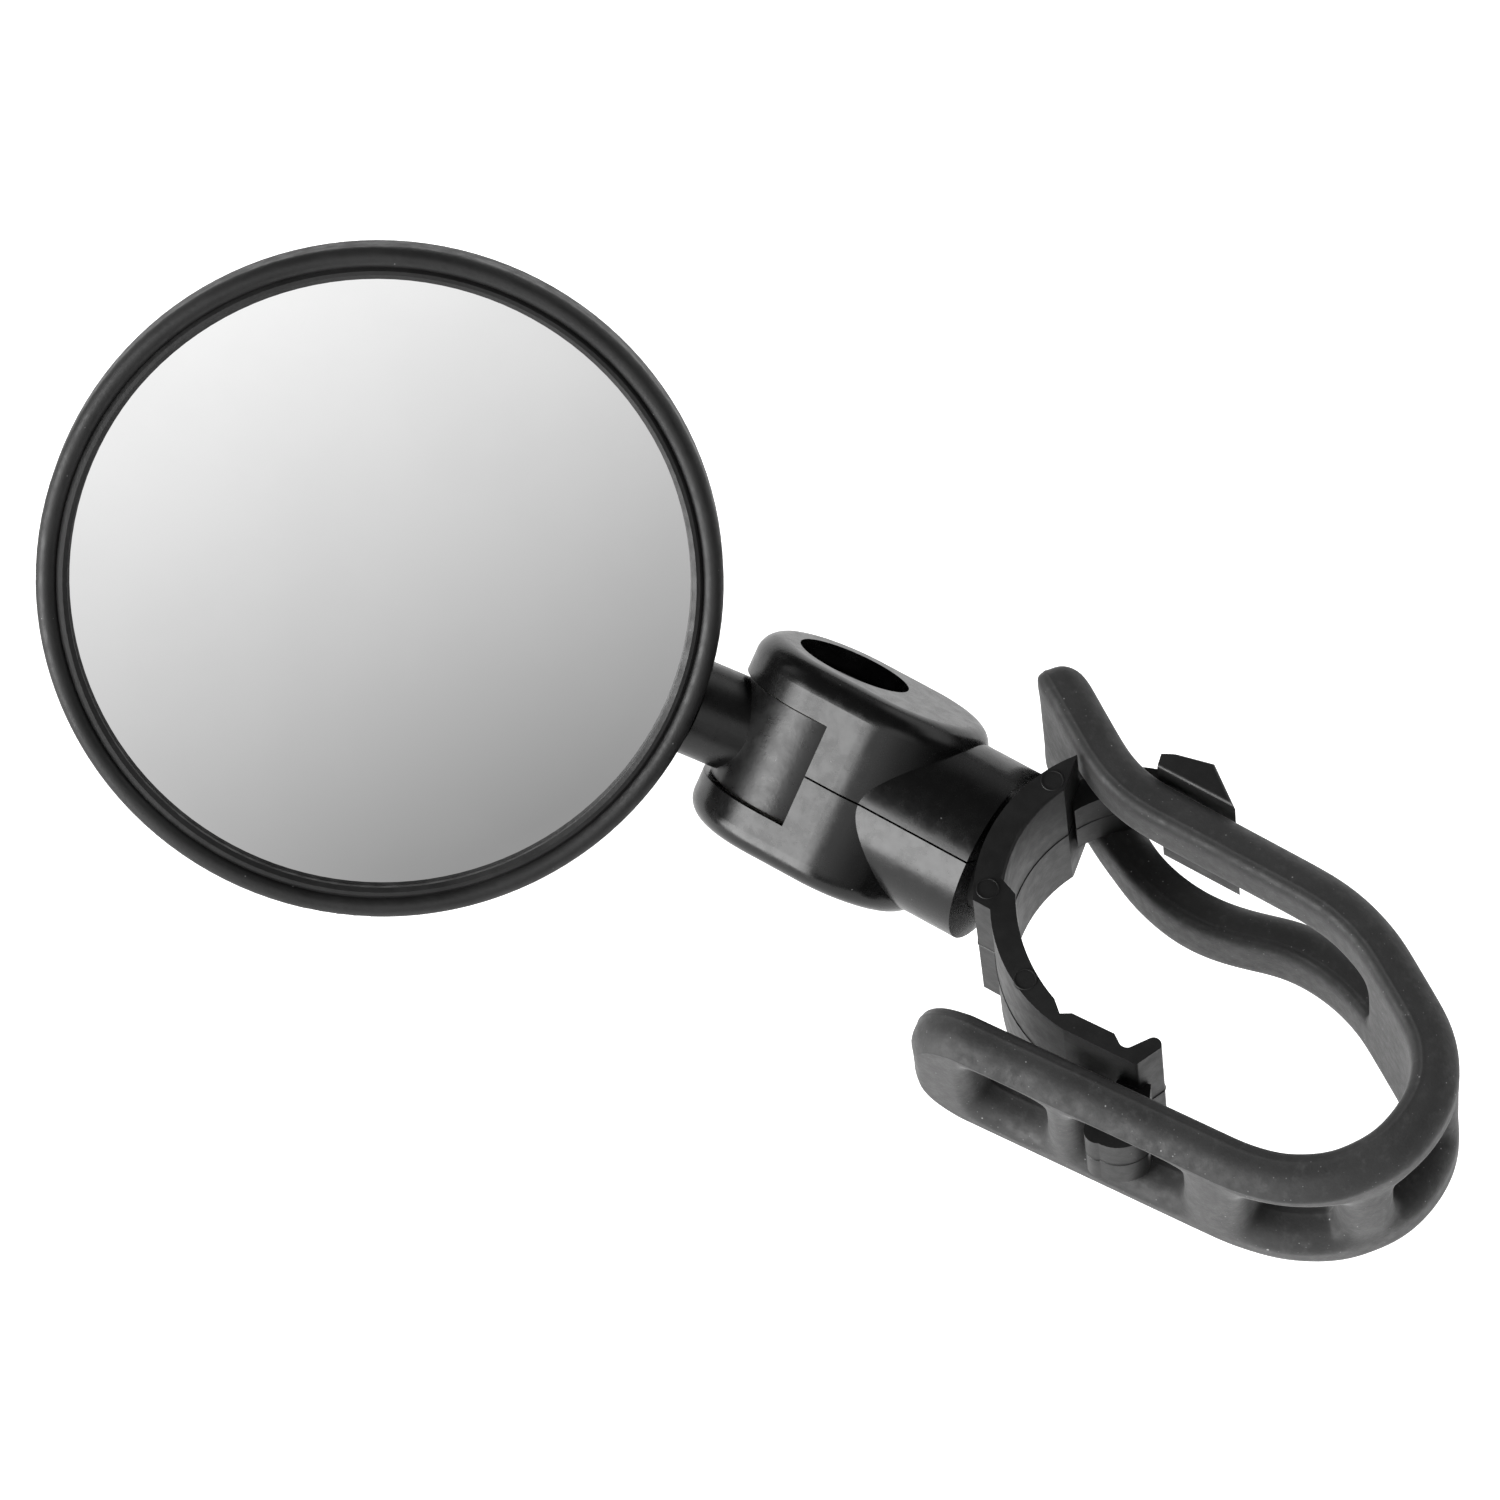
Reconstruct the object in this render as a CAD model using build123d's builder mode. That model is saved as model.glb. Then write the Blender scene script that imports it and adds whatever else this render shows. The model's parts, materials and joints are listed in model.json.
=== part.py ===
from build123d import *
import os
from math import cos, radians, sin, sqrt

# Bicycle mirror held on a handlebar by a rubber strap.
# Millimetres. Origin: centre of the bar seat, on the handlebar's axis. +Z runs along the handlebar,
# +X from the bar out along the arm to the mirror, and +Y across, towards the hook for the strap's tail.

# ---- driving dimensions -------------------------------------------------------------------------
seat_radius = 11.3          # seat for a 22.2 mm handlebar
seat_wall = 2.3
saddle_width = 16.0         # along the bar
strap_thickness = 3.8
strap_width = 16.4          # at the tab and round the bar
tail_width = 12.4           # at the free tail
pivot_x = 31.5              # bar axis to hinge pivot
swivel_angle = 34.2         # how far the hinge is turned about the arm
fold_angle = 24.9           # how far the mirror is folded about the hinge pivot
barrel_radius = 7.65        # hinge shells, round the pivot
barrel_half = 8.1           # half their height along the pivot
barrel_back = 5.0           # the shells' second round end, this far back from the pivot
barrel_round = 1.9          # rounding of the barrel's ends
neck_radius = 7.3
neck_end_x = 14.2
drum_radius = 7.2
drum_half = 4.2
drum_step = 0.12            # the drum's lower half is this much smaller
stub_radius = 3.9
mirror_reach = 37.3         # pivot to the mirror's centre
rim_radius = 27.0
glass_radius = 24.5         # what shows inside the rim
glass_front = 3.4           # edge of the glass, in front of the stub's axis
glass_curve = 300.0         # radius of the convex face
play = 0.05                 # running clearance

os.makedirs("parts", exist_ok=True)


def save(builder, name):
    """Label one finished piece and write it as its own STEP file."""
    builder.part.label = name
    export_step(builder.part, f"parts/{name}.step")


def cap_drop(sphere_radius, distance):
    """How far a sphere's face has fallen below its crown, this far out from the crown."""
    return sphere_radius - sqrt(sphere_radius * sphere_radius - distance * distance)


# ---- planes -------------------------------------------------------------------------------------
# hinge: origin at the pivot, its z along the pivot pin and its x out along the arm.
# head: hinge turned by the fold, so its x runs along the stub to the mirror.
# face: at the mirror's centre, its z out of the glass.
hinge = Plane(
    origin=(pivot_x, 0, 0),
    x_dir=(1, 0, 0),
    z_dir=(0, -cos(radians(swivel_angle)), sin(radians(swivel_angle))),
)
fold = radians(fold_angle)
head = Plane(
    origin=hinge.origin,
    x_dir=hinge.x_dir * cos(fold) + hinge.y_dir * sin(fold),
    z_dir=hinge.z_dir,
)
face = Plane(
    origin=head.origin + head.x_dir * mirror_reach,
    x_dir=head.x_dir,
    z_dir=head.y_dir,
)
section = Plane(origin=face.origin, x_dir=head.x_dir, z_dir=head.z_dir)    # holds the mirror's axis
mirror_axis = Axis(face.origin, face.z_dir)
arm_axis = Axis((0, 0, 0), (1, 0, 0))

# ---- saddle -------------------------------------------------------------------------------------
seat_back = seat_radius + seat_wall
step_y = 7.3                # corner of the thick back wall
arm_end_x = -7.2            # end of the long lower arm
hook_half = 3.3             # half width of both hooks where they pass through the strap
tee_under = 9.8             # underside of the upper hook's cross bar
tee_top = 12.3
edge_round = 0.3
shortest_soft = 2.5         # edges shorter than this stay sharp

swivel_neck_radius = 4.6    # stub that the hinge shells close on
swivel_flange_radius = 6.0
flange_x = neck_end_x + 1.4
flange_thickness = 1.8
ring_thickness = 1.2        # friction ring behind the flange
cavity_end_x = flange_x + flange_thickness + ring_thickness + 3 * play


def on_circle(radius, y):
    """The point of a circle about the bar at height y, on the arm's side."""
    return (sqrt(radius * radius - y * y), y)


def runs_round_bar(edge):
    """Whether an arc is the seat's own or the one that backs it."""
    return min(abs(edge.radius - seat_radius), abs(edge.radius - seat_back)) < play


def soften_sides(builder):
    """Round the longer outline edges of both side faces of what was just extruded along the bar."""
    by_height = builder.edges(Select.LAST).group_by(Axis.Z)
    outline = by_height[0] + by_height[-1]
    fillet(outline.filter_by(lambda edge: edge.length > shortest_soft), edge_round)


with BuildPart() as bar_saddle:
    # the seat and the long arm under it, one section along the bar
    with BuildSketch(Plane.XY.offset(-saddle_width / 2)):
        with BuildLine():
            seat_top = on_circle(seat_radius, -4.4)
            tip = on_circle(seat_back - 0.2, -7.5)
            Line(seat_top, tip)
            ThreePointArc(tip, (seat_back, 0), on_circle(seat_back, step_y))
            Line(on_circle(seat_back, step_y), (9.9, step_y))
            ThreePointArc((9.9, step_y), (6.3, 10.9), (-0.3, 13.1))
            Line((-0.3, 13.1), (arm_end_x + 0.5, 12.8))
            Line((arm_end_x + 0.5, 12.8), (arm_end_x - 0.4, 10.6))
            ThreePointArc((arm_end_x - 0.4, 10.6), (arm_end_x, 10.1), (arm_end_x + 0.8, 10.4))
            Line((arm_end_x + 0.8, 10.4), (arm_end_x + 1.7, 11.8))
            ThreePointArc((arm_end_x + 1.7, 11.8), (arm_end_x + 2.2, 12.0), (arm_end_x + 2.7, 11.8))
            Line((arm_end_x + 2.7, 11.8), (-3.9, 11.4))
            Line((-3.9, 11.4), (-0.2, 11.6))
            Line((-0.2, 11.6), (0.6, 12.1))
            Line((0.6, 12.1), (1.6, 11.25))
            ThreePointArc((1.6, 11.25), (6.2, 8.45), (8.9, 5.2))
            Line((8.9, 5.2), on_circle(seat_radius, 4.7))
            ThreePointArc(on_circle(seat_radius, 4.7), (seat_radius, 0), seat_top)
        make_face()
    extrude(amount=saddle_width)
    seat_arcs = bar_saddle.edges().filter_by(GeomType.CIRCLE).filter_by(runs_round_bar)
    fillet(seat_arcs, edge_round)
    # upper hook: a narrow arm through the strap's slot
    with BuildSketch(Plane.XY.offset(-hook_half)):
        with BuildLine():
            ThreePointArc((10.1, -5.1), (8.0, -8.0), (5.0, -tee_under - 0.3))
            Line((5.0, -tee_under - 0.3), (1.6, -tee_under - 0.1))
            Line((1.6, -tee_under - 0.1), (1.6, -tee_top + 0.4))
            Line((1.6, -tee_top + 0.4), (5.3, -tee_top + 0.5))
            ThreePointArc((5.3, -tee_top + 0.5), (9.2, -10.0), (11.6, -6.6))
            Line((11.6, -6.6), (10.1, -5.1))
        make_face()
    extrude(amount=2 * hook_half)
    # its cross bar, which lies over both strands of the strap
    with BuildSketch(Plane.XY.offset(-saddle_width / 2)):
        with BuildLine():
            Polyline(
                (-1.9, -tee_under),
                (5.2, -tee_under),
                (5.5, -10.9),
                (4.3, -11.6),
                (1.5, -tee_top),
                close=True,
            )
        make_face()
    extrude(amount=saddle_width)
    soften_sides(bar_saddle)
    # lower hook: a peg leaning back against the pull of the strap
    with BuildSketch(Plane.XY.offset(-hook_half)):
        with BuildLine():
            Line((-4.9, 12.6), (-4.7, 17.2))
            ThreePointArc((-4.7, 17.2), (-5.2, 18.2), (-6.4, 18.2))
            ThreePointArc((-6.4, 18.2), (-8.4, 17.4), (-9.3, 15.8))
            Line((-9.3, 15.8), (arm_end_x - 0.1, 11.9))
            Line((arm_end_x - 0.1, 11.9), (-4.9, 12.6))
        make_face()
    extrude(amount=2 * hook_half)
    soften_sides(bar_saddle)
    # swivel stub and its flange, which the hinge shells hold
    with BuildSketch(Plane.XY):
        with BuildLine():
            Polyline(
                (seat_radius + 1.0, 0),
                (seat_radius + 1.0, swivel_neck_radius),
                (flange_x, swivel_neck_radius),
                (flange_x, swivel_flange_radius),
                (flange_x + flange_thickness, swivel_flange_radius),
                (flange_x + flange_thickness, 0),
                close=True,
            )
        make_face()
    revolve(axis=arm_axis)
save(bar_saddle, "bar_saddle")

# ---- rubber strap -------------------------------------------------------------------------------
# Its line runs from the tab at the upper hook, round where the bar goes, and back to the free tail.
slot_half = 3.5
slot_length = 30.2          # the long slot, which starts at the tab
tail_slot_length = 6.6
tail_slot_half = 3.0
tail_slot_round = 2.0
hooked_slot_length = 7.8    # the slot on the lower hook, stretched wider by it
hooked_slot_width = 8.4
band_reach = 40.0           # farther than any part of the strap

with BuildPart() as rubber_strap:
    with BuildSketch(Plane.XY.offset(-strap_width / 2)):
        with BuildLine():
            FilletPolyline(
                (15.4, -12.6),
                (7.2, -7.5),
                (-14.6, -7.4),
                (-27.6, 0.5),
                (-26.7, 10.8),
                (-19.6, 15.0),
                (9.0, 16.9),
                radius=(12, 16, 8.2, 9.6, 12),
            )
            offset(amount=strap_thickness / 2, side=Side.BOTH)
        make_face()
    extrude(amount=strap_width)
    # the strap narrows round the far side of the loop, towards its tail
    with BuildSketch(Plane.YZ.offset(-band_reach)):
        with BuildLine():
            Polyline(
                (-20, -strap_width / 2),
                (0, -strap_width / 2),
                (14, -tail_width / 2),
                (25, -tail_width / 2),
                (25, tail_width / 2),
                (14, tail_width / 2),
                (0, strap_width / 2),
                (-20, strap_width / 2),
                close=True,
            )
        make_face()
    extrude(amount=2 * band_reach, mode=Mode.INTERSECT)
    # long slot that both strands leave open for the upper hook
    with BuildSketch(Plane.XZ.offset(2)):
        with Locations((-3.2, 0)):
            RectangleRounded(slot_length, 2 * slot_half, 1)
    extrude(amount=12, mode=Mode.SUBTRACT)
    # the tail's two slots: the free one, and the one on the lower hook
    with BuildSketch(Plane.XZ.offset(-21)):
        with Locations((2.4, 0)):
            RectangleRounded(tail_slot_length, 2 * tail_slot_half, tail_slot_round)
        with Locations((-8.2, 0)):
            RectangleRounded(hooked_slot_length, hooked_slot_width, 1.5)
    extrude(amount=9, mode=Mode.SUBTRACT)
    # the next two, which a larger bar would use
    for place, outwards in (((-21.6, 14.4, 0), (-0.45, 0.89, 0)), ((-27.6, 5.3, 0), (-1, 0.05, 0))):
        with BuildSketch(Plane(origin=place, x_dir=(0, 0, 1), z_dir=outwards)):
            RectangleRounded(2 * tail_slot_half, tail_slot_length, tail_slot_round)
        extrude(amount=strap_thickness, both=True, mode=Mode.SUBTRACT)
save(rubber_strap, "rubber_strap")

# ---- hinge shells -------------------------------------------------------------------------------
washer_thickness = 0.5
washer_radius = 6.4
recess_radius = 4.7         # round well for the clamp screw's head
recess_floor = 5.3
screw_radius = 2.0
nut_across = 7.0
nut_floor = 5.6
nut_thickness = 2.1
window_back = -2.45         # rear edge of the gap that the stub sweeps
window_size = 20.0          # large enough to clear the barrel's front
drum_gap = 0.2              # open above and below the drum, round the friction washers
seam = 0.16                 # the shells close to within this of each other

with BuildPart() as hinge_body:
    with BuildSketch(hinge.offset(-barrel_half)):
        with Locations((-barrel_back / 2, 0)):
            SlotCenterToCenter(barrel_back, 2 * barrel_radius)
    extrude(amount=2 * barrel_half)
    fillet(hinge_body.edges().filter_by(GeomType.CIRCLE), barrel_round)
    with BuildSketch(Plane.YZ.offset(neck_end_x)):
        Circle(neck_radius)
    extrude(amount=pivot_x - barrel_back - neck_end_x)
    # gap for the drum and the stub
    with BuildSketch(hinge.offset(-drum_half - drum_gap)):
        Circle(drum_radius + play)
        with Locations((window_back + window_size / 2, 0)):
            Rectangle(window_size, window_size)
    extrude(amount=2 * (drum_half + drum_gap), mode=Mode.SUBTRACT)
    # shallow seats for the friction washers
    with BuildSketch(hinge.offset(-drum_half - play - washer_thickness)):
        Circle(washer_radius + play)
    extrude(amount=2 * (drum_half + play + washer_thickness), mode=Mode.SUBTRACT)
    # clamp screw: well for its head, hole for its shank, and a hexagon for its nut
    with BuildSketch(hinge.offset(recess_floor)):
        Circle(recess_radius)
    extrude(amount=barrel_half, mode=Mode.SUBTRACT)
    with BuildSketch(hinge.offset(-barrel_half)):
        Circle(screw_radius + play)
    extrude(amount=2 * barrel_half, mode=Mode.SUBTRACT)
    with BuildSketch(hinge.offset(-nut_floor)):
        RegularPolygon(nut_across / 2 + play, 6, major_radius=False)
    extrude(amount=-barrel_half, mode=Mode.SUBTRACT)
    # groove for the saddle's flange, open to the end of the neck
    with BuildSketch(Plane.XY):
        with BuildLine():
            Polyline(
                (neck_end_x - 1, 0),
                (neck_end_x - 1, swivel_neck_radius + play),
                (flange_x - play, swivel_neck_radius + play),
                (flange_x - play, swivel_flange_radius + play),
                (cavity_end_x, swivel_flange_radius + play),
                (cavity_end_x, 0),
                close=True,
            )
        make_face()
    revolve(axis=arm_axis, mode=Mode.SUBTRACT)

with BuildPart() as upper_shell:
    add(hinge_body.part)
    split(bisect_by=hinge.offset(seam / 2), keep=Keep.TOP)
save(upper_shell, "upper_shell")

with BuildPart() as lower_shell:
    add(hinge_body.part)
    split(bisect_by=hinge.offset(-seam / 2), keep=Keep.BOTTOM)
save(lower_shell, "lower_shell")

# ---- friction parts and the clamp screw ---------------------------------------------------------
for name, low in (
    ("upper_friction_washer", drum_half + play),
    ("lower_friction_washer", -drum_half - play - washer_thickness),
):
    with BuildPart() as friction_washer:
        with BuildSketch(hinge.offset(low)):
            Circle(washer_radius)
            Circle(screw_radius + play, mode=Mode.SUBTRACT)
        extrude(amount=washer_thickness)
    save(friction_washer, name)

with BuildPart() as swivel_friction_ring:
    with BuildSketch(Plane.YZ.offset(flange_x + flange_thickness + play)):
        Circle(swivel_flange_radius)
        Circle(swivel_neck_radius - 1, mode=Mode.SUBTRACT)
    extrude(amount=ring_thickness)
    fillet(swivel_friction_ring.edges(), edge_round)
save(swivel_friction_ring, "swivel_friction_ring")

head_washer_thickness = 0.3
head_height = 0.9
head_round = 0.4
head_radius = 3.7
shank_end = -7.8
hex_key = 2.5
hex_depth = 0.8

with BuildPart() as screw_washer:
    with BuildSketch(hinge.offset(recess_floor)):
        Circle(recess_radius - 0.3)
        Circle(screw_radius + play, mode=Mode.SUBTRACT)
    extrude(amount=head_washer_thickness)
save(screw_washer, "screw_washer")

with BuildPart() as clamp_screw:
    head_low = recess_floor + head_washer_thickness
    with BuildSketch(hinge.offset(head_low)):
        Circle(head_radius)
    extrude(amount=head_height)
    head_edge = clamp_screw.faces().sort_by(Axis(hinge.origin, hinge.z_dir))[-1].edges()
    fillet(head_edge, head_round)
    with BuildSketch(hinge.offset(shank_end)):
        Circle(screw_radius)
    extrude(amount=head_low - shank_end)
    with BuildSketch(hinge.offset(head_low + head_height)):
        RegularPolygon(hex_key / 2, 6, major_radius=False)
    extrude(amount=-hex_depth, mode=Mode.SUBTRACT)
save(clamp_screw, "clamp_screw")

with BuildPart() as clamp_nut:
    with BuildSketch(hinge.offset(-nut_floor)):
        RegularPolygon(nut_across / 2, 6, major_radius=False)
        Circle(screw_radius, mode=Mode.SUBTRACT)
    extrude(amount=-nut_thickness)
save(clamp_nut, "clamp_nut")

# ---- mirror head --------------------------------------------------------------------------------
# Sections are drawn with x outwards from the mirror's centre and y out of the glass.
wall = 1.5
bezel_inner = 25.6          # the bezel pushes over the housing's rim
rim_front = glass_front + 1.0
rim_back = 0.9              # lower edge of the bezel
dome_depth = 4.9            # back of the housing, behind the stub's axis
lens_thickness = 1.8
pad_thickness = 0.5
lens_radius = glass_radius + 0.2
ledge_inner = 21.5
lens_back = glass_front - lens_thickness
ledge = lens_back - pad_thickness

rim_corner = (rim_radius - 0.1, rim_back - play)
dome_rise = rim_corner[1] + dome_depth
dome_curve = (rim_corner[0] ** 2 + dome_rise ** 2) / (2 * dome_rise)
stub_end = 11.0             # the stub has sunk into the dome this far from the mirror's centre
above_rim = 10.0


def dome_point(distance, inset=0.0):
    """A point of the dome's outer face, or of the sphere that lies inset within it."""
    return (distance, inset - dome_depth + cap_drop(dome_curve - inset, distance))


with BuildPart() as mirror_housing:
    # domed back with an upright rim for the lens
    with BuildSketch(section):
        with BuildLine():
            Polyline(
                (0, -dome_depth),
                (0, ledge),
                (lens_radius + 0.1, ledge),
                (lens_radius + 0.1, glass_front - 0.1),
                (bezel_inner - play, glass_front - 0.1),
                (bezel_inner - play, rim_back - play),
                rim_corner,
            )
            ThreePointArc(rim_corner, dome_point(rim_corner[0] / 2), (0, -dome_depth))
        make_face()
    revolve(axis=mirror_axis)
    # stub from the hinge drum, running on under the rim into the dome
    with BuildSketch(Plane(origin=head.origin, x_dir=head.y_dir, z_dir=head.x_dir)):
        Circle(stub_radius)
    extrude(amount=mirror_reach - stub_end)
    # room over the rim for the lens and the bezel
    with BuildSketch(section):
        with BuildLine():
            Polyline(
                (0, ledge),
                (lens_radius + 0.1, ledge),
                (lens_radius + 0.1, glass_front - 0.1),
                (bezel_inner - play, glass_front - 0.1),
                (bezel_inner - play, rim_back - play),
                (rim_radius + play, rim_back - play),
                (rim_radius + play, above_rim),
                (0, above_rim),
                close=True,
            )
        make_face()
    revolve(axis=mirror_axis, mode=Mode.SUBTRACT)
    # hollow behind the lens
    with BuildSketch(section):
        with BuildLine():
            hollow_edge = dome_point(ledge_inner, wall)
            Polyline(
                (0, wall - dome_depth),
                (0, ledge + 1),
                (ledge_inner, ledge + 1),
                hollow_edge,
            )
            ThreePointArc(hollow_edge, dome_point(ledge_inner / 2, wall), (0, wall - dome_depth))
        make_face()
    revolve(axis=mirror_axis, mode=Mode.SUBTRACT)
    # hinge drum
    for low, radius in ((0, drum_radius), (-drum_half, drum_radius - drum_step)):
        with BuildSketch(head.offset(low)):
            Circle(radius)
        extrude(amount=drum_half)
    with BuildSketch(head.offset(-drum_half)):
        Circle(screw_radius + play)
    extrude(amount=2 * drum_half, mode=Mode.SUBTRACT)
save(mirror_housing, "mirror_housing")

with BuildPart() as lens_adhesive_ring:
    with BuildSketch(face.offset(ledge)):
        Circle(lens_radius - 0.2)
        Circle(ledge_inner, mode=Mode.SUBTRACT)
    extrude(amount=pad_thickness)
save(lens_adhesive_ring, "lens_adhesive_ring")

with BuildPart() as mirror_lens:
    # flat behind, and the cap of a large sphere in front
    crown = glass_front + cap_drop(glass_curve, lens_radius)
    with BuildSketch(section):
        with BuildLine():
            half_way = lens_radius / 2
            Polyline((0, crown), (0, lens_back), (lens_radius, lens_back), (lens_radius, glass_front))
            ThreePointArc(
                (lens_radius, glass_front),
                (half_way, crown - cap_drop(glass_curve, half_way)),
                (0, crown),
            )
        make_face()
    revolve(axis=mirror_axis)
save(mirror_lens, "mirror_lens")

with BuildPart() as mirror_bezel:
    # inner lip, groove and outer bead on the front, and a short straight side
    with BuildSketch(section):
        with BuildLine():
            Line((glass_radius, glass_front + play), (glass_radius, rim_front - 0.35))
            Line((glass_radius, rim_front - 0.35), (24.85, rim_front - 0.1))
            Line((24.85, rim_front - 0.1), (25.15, rim_front - 0.15))
            Line((25.15, rim_front - 0.15), (25.4, rim_front - 0.45))
            ThreePointArc((25.4, rim_front - 0.45), (26.35, rim_front), (rim_radius, rim_front - 0.9))
            Line((rim_radius, rim_front - 0.9), (rim_radius, rim_back))
            Line((rim_radius, rim_back), (bezel_inner, rim_back))
            Line((bezel_inner, rim_back), (bezel_inner, glass_front + play))
            Line((bezel_inner, glass_front + play), (glass_radius, glass_front + play))
        make_face()
    revolve(axis=mirror_axis)
save(mirror_bezel, "mirror_bezel")
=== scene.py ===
import json
from math import cos, pi, radians, sin, sqrt

import bmesh
import bpy
from mathutils import Matrix, Vector


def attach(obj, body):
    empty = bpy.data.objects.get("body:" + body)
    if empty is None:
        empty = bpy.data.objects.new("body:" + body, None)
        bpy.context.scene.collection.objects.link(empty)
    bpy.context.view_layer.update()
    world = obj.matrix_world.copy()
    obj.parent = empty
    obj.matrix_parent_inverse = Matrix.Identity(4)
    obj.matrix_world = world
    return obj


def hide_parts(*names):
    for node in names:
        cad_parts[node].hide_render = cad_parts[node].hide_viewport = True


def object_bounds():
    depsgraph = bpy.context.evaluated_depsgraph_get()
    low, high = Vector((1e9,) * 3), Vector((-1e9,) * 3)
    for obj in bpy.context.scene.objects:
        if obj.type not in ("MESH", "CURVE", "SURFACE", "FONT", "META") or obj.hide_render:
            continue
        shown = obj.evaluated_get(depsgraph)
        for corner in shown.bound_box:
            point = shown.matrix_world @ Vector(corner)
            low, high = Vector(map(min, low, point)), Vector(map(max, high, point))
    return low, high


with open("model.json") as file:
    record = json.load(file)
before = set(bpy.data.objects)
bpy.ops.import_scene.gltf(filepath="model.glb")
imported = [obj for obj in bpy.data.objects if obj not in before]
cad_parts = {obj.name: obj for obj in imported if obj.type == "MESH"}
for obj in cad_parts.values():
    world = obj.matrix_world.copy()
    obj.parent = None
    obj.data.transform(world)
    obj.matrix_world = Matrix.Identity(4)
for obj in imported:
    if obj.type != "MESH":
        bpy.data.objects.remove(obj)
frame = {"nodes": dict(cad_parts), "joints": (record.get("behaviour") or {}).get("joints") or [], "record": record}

# A bicycle mirror on a rubber strap. Metres, in the frame of the CAD part: the origin is the middle of
# the bar seat, +Z runs along the handlebar, +X out to the mirror and +Y towards the strap's tail.

MM = 0.001
cad_low, cad_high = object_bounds()
scene = bpy.context.scene


# ---- shader nodes -------------------------------------------------------------------------------
def add_node(tree, kind, **inputs):
    """A new shader node, with some of its inputs set by name."""
    node = tree.nodes.new(kind)
    for name, value in inputs.items():
        node.inputs[name.replace("_", " ")].default_value = value
    return node


def add_math(tree, operation, first, second):
    """A math node on two values, each a number or another node's output."""
    node = tree.nodes.new("ShaderNodeMath")
    node.operation = operation
    for socket, value in zip(node.inputs, (first, second)):
        if isinstance(value, (int, float)):
            socket.default_value = value
        else:
            tree.links.new(value, socket)
    return node.outputs["Value"]


def add_ramp(tree, value, low, high, out_low, out_high, shape="SMOOTHSTEP"):
    """Carries a value from one range to another."""
    node = tree.nodes.new("ShaderNodeMapRange")
    node.interpolation_type = shape
    for name, number in (("From Min", low), ("From Max", high), ("To Min", out_low), ("To Max", out_high)):
        node.inputs[name].default_value = number
    tree.links.new(value, node.inputs["Value"])
    return node.outputs["Result"]


# ---- camera, floor and light --------------------------------------------------------------------
CAMERA_PLACE = (-0.1468, 0.2060, 0.5346)
CAMERA_RIGHT = (-0.8381, -0.5395, -0.0811)
CAMERA_UP = (0.4526, -0.7705, 0.4488)
CAMERA_LENS = 181.07        # focal length and sensor in camera millimetres
CAMERA_SENSOR = 36.0
CAMERA_NEAR = 0.01
CAMERA_FAR = 20.0


def make_camera():
    """The camera stands 0.6 m from the hinge and looks down at the object."""
    right = Vector(CAMERA_RIGHT)
    up = Vector(CAMERA_UP)
    data = bpy.data.cameras.new("camera")
    data.sensor_width = CAMERA_SENSOR
    data.lens = CAMERA_LENS
    data.clip_start = CAMERA_NEAR
    data.clip_end = CAMERA_FAR
    camera = bpy.data.objects.new("camera", data)
    turn = Matrix((right, up, right.cross(up))).transposed()
    camera.matrix_world = Matrix.Translation(Vector(CAMERA_PLACE)) @ turn.to_4x4()
    scene.collection.objects.link(camera)
    scene.camera = camera


FLOOR_HALF = 6.0
FLOOR_DROP = 65 * MM        # room for the mirror to swing under its rest place
FLOOR_GREY = 0.8
FLOOR_ROUGH = 0.9
FLOOR_GLOW = 0.45           # how much light it gives the object


def make_floor():
    """A plain white floor, low enough that no pose reaches it."""
    mesh = bpy.data.meshes.new("floor")
    height = cad_low.z - FLOOR_DROP
    ways = ((-1, -1), (1, -1), (1, 1), (-1, 1))
    corners = [(x * FLOOR_HALF, y * FLOOR_HALF, height) for x, y in ways]
    mesh.from_pydata(corners, [], [(0, 1, 2, 3)])
    floor = bpy.data.objects.new("floor", mesh)
    scene.collection.objects.link(floor)
    floor_material = bpy.data.materials.new("floor_white")
    floor_material.use_nodes = True
    tree = floor_material.node_tree
    shader = tree.nodes["Principled BSDF"]
    shader.inputs["Base Color"].default_value = (FLOOR_GREY, FLOOR_GREY, FLOOR_GREY, 1)
    shader.inputs["Roughness"].default_value = FLOOR_ROUGH
    shader.inputs["Emission Color"].default_value = (1, 1, 1, 1)
    # it is overexposed to the camera, and lights the object from below only a little
    seen = tree.nodes.new("ShaderNodeLightPath").outputs["Is Camera Ray"]
    glow = add_ramp(tree, seen, 0, 1, FLOOR_GLOW, 1.0, "LINEAR")
    tree.links.new(glow, shader.inputs["Emission Strength"])
    mesh.materials.append(floor_material)


# Soft boxes in the sky. In degrees: azimuth and half its range, elevation and half its range, and how
# soft the edge is. Then the strength.
SOFT_BOXES = (
    (62, 20, 22, 24, 12, 9.0),
    (-115, 40, 24, 16, 20, 0.9),
    (-10, 18, 30, 16, 20, 0.8),
)
SKY_BASE = 0.06
# A patch of sky that the mirror shows at rest, which grows brighter across it.
PATCH_PLACE = (-0.464, 0.663, 0.588)
PATCH_FULL = 18             # degrees from its middle up to which it is whole
PATCH_GONE = 38             # and from which there is none
PATCH_LEAST = 0.26          # its darkest, over the rest of the sky
PATCH_MORE = 0.68           # how much brighter it grows
PATCH_WAY = (0.643, -0.202, 0.736)
PATCH_FROM = -0.19          # where it starts to grow along that way, and where it stops
PATCH_TO = 0.21


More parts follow.
